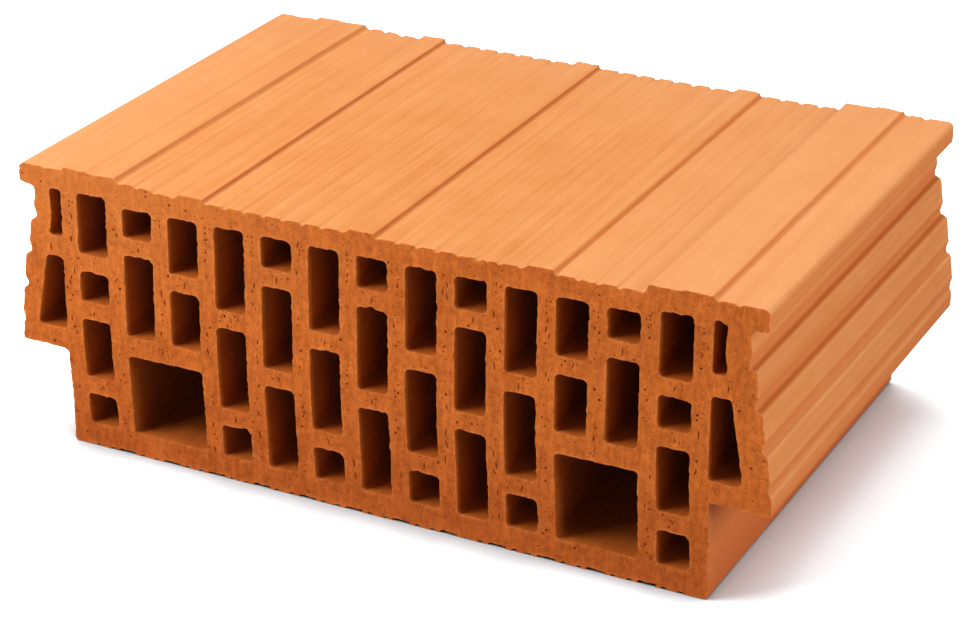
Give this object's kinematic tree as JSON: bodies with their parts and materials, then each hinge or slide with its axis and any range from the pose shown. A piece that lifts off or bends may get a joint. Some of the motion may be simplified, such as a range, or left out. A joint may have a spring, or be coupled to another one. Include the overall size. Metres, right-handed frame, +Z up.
{
  "type": "clay ceiling block",
  "caption": "Hollow fired-clay ceiling block with combed deck, grooved flanks and side ledges that rest on floor beams, pierced from end to end by rounded holes.",
  "frame": {"origin": "centre of the underside", "axes": "+X across the block from one bearing ledge to the other, +Y along the extrusion, +Z up from the underside to the combed deck"},
  "size_m": [0.515, 0.333, 0.194],
  "materials": {
    "fired_clay": "matte fired clay"
  },
  "bodies": {
    "root": {"ceiling_block": "fired_clay"}
  },
  "joints": []
}
